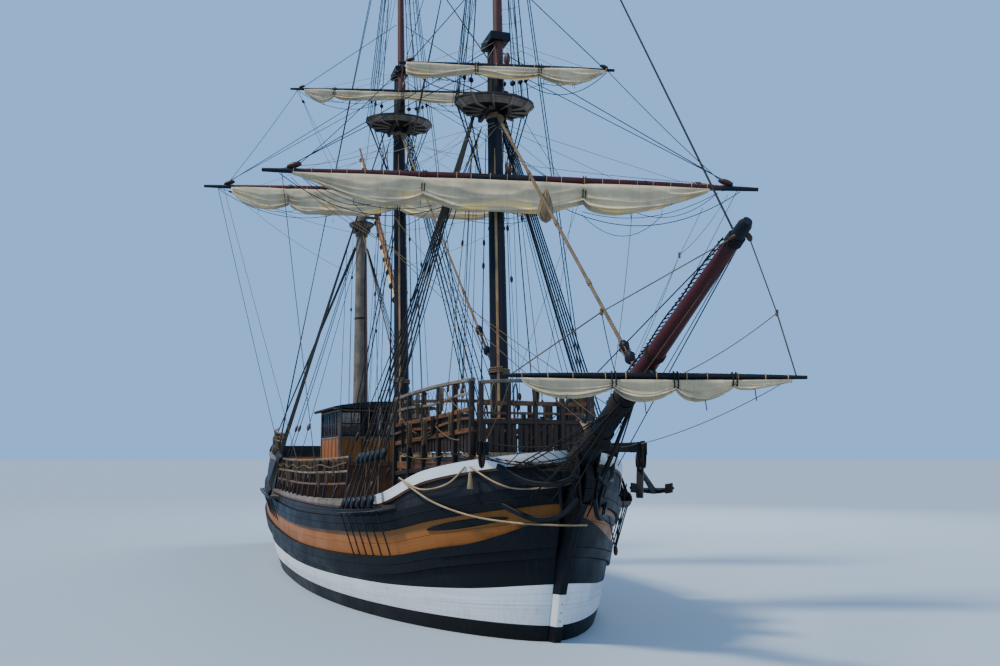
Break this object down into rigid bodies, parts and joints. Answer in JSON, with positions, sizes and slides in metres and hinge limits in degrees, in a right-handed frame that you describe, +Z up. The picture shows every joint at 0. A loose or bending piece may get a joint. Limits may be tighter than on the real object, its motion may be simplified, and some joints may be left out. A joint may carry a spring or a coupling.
{
  "type": "tall ship",
  "caption": "Wooden three-masted sailing ship afloat, with square sails hanging in bights below braced yards, a raked bowsprit, open forecastle rails and a low stern cabin.",
  "frame": {"origin": "on the waterline, amidships, on the centreline", "axes": "+X towards the bow, +Y to port, +Z up"},
  "size_m": [32.7107, 12.1262, 28.656],
  "materials": {
    "hull_black": "satin black paint on planks",
    "hull_grey": "weathered dark grey paint",
    "timber": "oiled brown timber",
    "ochre": "ochre paint on planks",
    "spar_black": "black painted spar",
    "spar_red": "red-brown varnished spar",
    "pine": "oiled pine spar",
    "canvas": "weathered cream flax canvas",
    "rope": "tan laid hemp",
    "iron": "painted wrought iron"
  },
  "bodies": {
    "root": {"hull": "hull_black", "backbone": "hull_black", "bulwark_starboard": "hull_grey", "bulwark_port": "hull_grey", "quarter_bulwark_starboard": "hull_grey", "quarter_bulwark_port": "hull_grey", "main_wale_starboard": "hull_black", "main_wale_port": "hull_black", "upper_wale_starboard": "hull_black", "upper_wale_port": "hull_black", "fore_channel_starboard": "hull_black", "fore_channel_port": "hull_black", "main_channel_starboard": "hull_black", "main_channel_port": "hull_black", "head_rail_starboard": "hull_black", "head_rail_port": "hull_black", "cathead_starboard": "hull_black", "cathead_port": "hull_black", "anchor": "iron", "forecastle_frame_starboard": "timber", "forecastle_frame_port": "timber", "forecastle_deck": "timber", "forecastle_rail_aft": "timber", "forecastle_rail_fore": "timber", "cabin": "ochre", "main_hatch": "timber", "fore_bitts": "timber", "foremast": "spar_black", "mainmast": "spar_black", "mizzenmast": "pine", "fore_top": "spar_black", "main_top": "spar_black", "mizzen_top": "spar_black", "fore_cap": "spar_black", "main_cap": "spar_black", "fore_topmast": "spar_red", "main_topmast": "spar_red", "bowsprit": "spar_red", "main_stay": "rope", "fore_stay": "rope", "mizzen_stay": "rope", "fore_topmast_stay": "rope", "main_topmast_stay": "rope"},
    "rudder": {"rudder": "hull_black"},
    "capstan": {"capstan": "timber"},
    "fore_course": {"fore_course_yard": "spar_red", "fore_course_sail": "canvas"},
    "fore_topsail": {"fore_topsail_yard": "spar_red", "fore_topsail_sail": "canvas"},
    "main_course": {"main_course_yard": "spar_red", "main_course_sail": "canvas"},
    "main_topsail": {"main_topsail_yard": "spar_red", "main_topsail_sail": "canvas"},
    "spritsail": {"spritsail_yard": "spar_black", "spritsail_sail": "canvas"},
    "lateen": {"lateen_yard": "pine", "lateen_sail": "canvas"}
  },
  "joints": [
    {"name": "rudder_hinge", "type": "hinge", "parent": "root", "child": "rudder", "pos_m": [-12.33, 0, -3.3], "axis": [-0.1301, 0, 0.9915], "range_deg": [-35, 35]},
    {"name": "capstan_spin", "type": "hinge", "parent": "root", "child": "capstan", "pos_m": [3.3, 0, 1.35], "axis": [0, 0, 1], "continuous": true},
    {"name": "fore_course_brace", "type": "hinge", "parent": "root", "child": "fore_course", "pos_m": [8.30495, 0, 9.91], "axis": [-0.0549, 0, 0.9985], "range_deg": [-10, 50]},
    {"name": "fore_topsail_brace", "type": "hinge", "parent": "root", "child": "fore_topsail", "pos_m": [8.4854, 0, 12.63812], "axis": [-0.0549, 0, 0.9985], "range_deg": [-10, 50]},
    {"name": "main_course_brace", "type": "hinge", "parent": "root", "child": "main_course", "pos_m": [-1.69531, 0, 12.13], "axis": [-0.0867, 0, 0.9962], "range_deg": [-10, 50]},
    {"name": "main_topsail_brace", "type": "hinge", "parent": "root", "child": "main_topsail", "pos_m": [-1.64504, 0, 15.59034], "axis": [-0.0867, 0, 0.9962], "range_deg": [-10, 50]},
    {"name": "spritsail_brace", "type": "hinge", "parent": "root", "child": "spritsail", "pos_m": [15.95, 0, 5.02], "axis": [-0.4923, 0, 0.8704], "range_deg": [-13, 47]},
    {"name": "lateen_swing", "type": "hinge", "parent": "root", "child": "lateen", "pos_m": [-8.335, 0, 13], "axis": [-0.045, 0, 0.999], "range_deg": [0, 35]}
  ],
  "couplings": [
    {"joint": "fore_topsail_brace", "follows": "fore_course_brace", "ratio": 1},
    {"joint": "main_topsail_brace", "follows": "main_course_brace", "ratio": 1}
  ]
}
